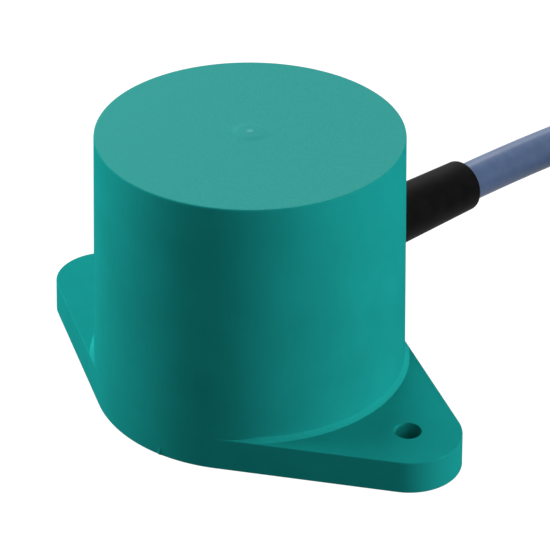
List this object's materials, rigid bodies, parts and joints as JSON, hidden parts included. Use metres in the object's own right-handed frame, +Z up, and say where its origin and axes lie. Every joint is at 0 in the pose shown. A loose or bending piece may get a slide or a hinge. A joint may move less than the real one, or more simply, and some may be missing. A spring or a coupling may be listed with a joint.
{
  "type": "inductive proximity sensor",
  "caption": "Cylindrical inductive proximity sensor in a moulded flanged housing, with a bend sleeve and a moulded-on cable.",
  "frame": {"origin": "centre of the mounting face, on the axis of the round housing and midway between the fixing holes", "axes": "+Z up through the housing to the sensing face, +X through the two fixing holes, +Y towards the cable"},
  "size_m": [0.1476, 0.1792, 0.0476],
  "materials": {
    "housing_plastic": "matte",
    "resin": "gloss",
    "carrier_plastic": "matte",
    "ferrite": "matte",
    "former_plastic": "matte",
    "enamelled_copper": "gloss",
    "board_laminate": "satin",
    "chip_plastic": "matte",
    "capacitor_plastic": "satin",
    "film_box": "satin",
    "trimmer_plastic": "satin",
    "chip_ceramic": "matte",
    "solder": "satin",
    "brown_insulation": "satin",
    "blue_insulation": "satin",
    "cable_plastic": "satin",
    "clamp_steel": "satin",
    "sleeve_rubber": "matte",
    "tie_nylon": "satin",
    "tinned_copper": "satin"
  },
  "bodies": {
    "root": {"housing": "housing_plastic", "potting_resin": "resin", "core_carrier": "carrier_plastic", "ferrite_core": "ferrite", "coil_former": "former_plastic", "coil_winding": "enamelled_copper", "coil_leads": "enamelled_copper", "circuit_board": "board_laminate", "control_chip": "chip_plastic", "output_transistor": "chip_plastic", "protection_diode": "chip_plastic", "filter_capacitor": "capacitor_plastic", "film_capacitor": "film_box", "trimming_resistor": "trimmer_plastic", "chip_resistors": "chip_ceramic", "chip_capacitors": "chip_ceramic", "solder_joints": "solder", "brown_wire": "brown_insulation", "blue_wire": "blue_insulation", "cable_jacket": "cable_plastic", "cable_clamp": "clamp_steel", "bend_sleeve": "sleeve_rubber", "cord_run": "cable_plastic", "cord_coil": "cable_plastic", "cable_tie": "tie_nylon", "brown_tail_wire": "brown_insulation", "blue_tail_wire": "blue_insulation", "brown_strands": "tinned_copper", "blue_strands": "tinned_copper"}
  },
  "joints": []
}
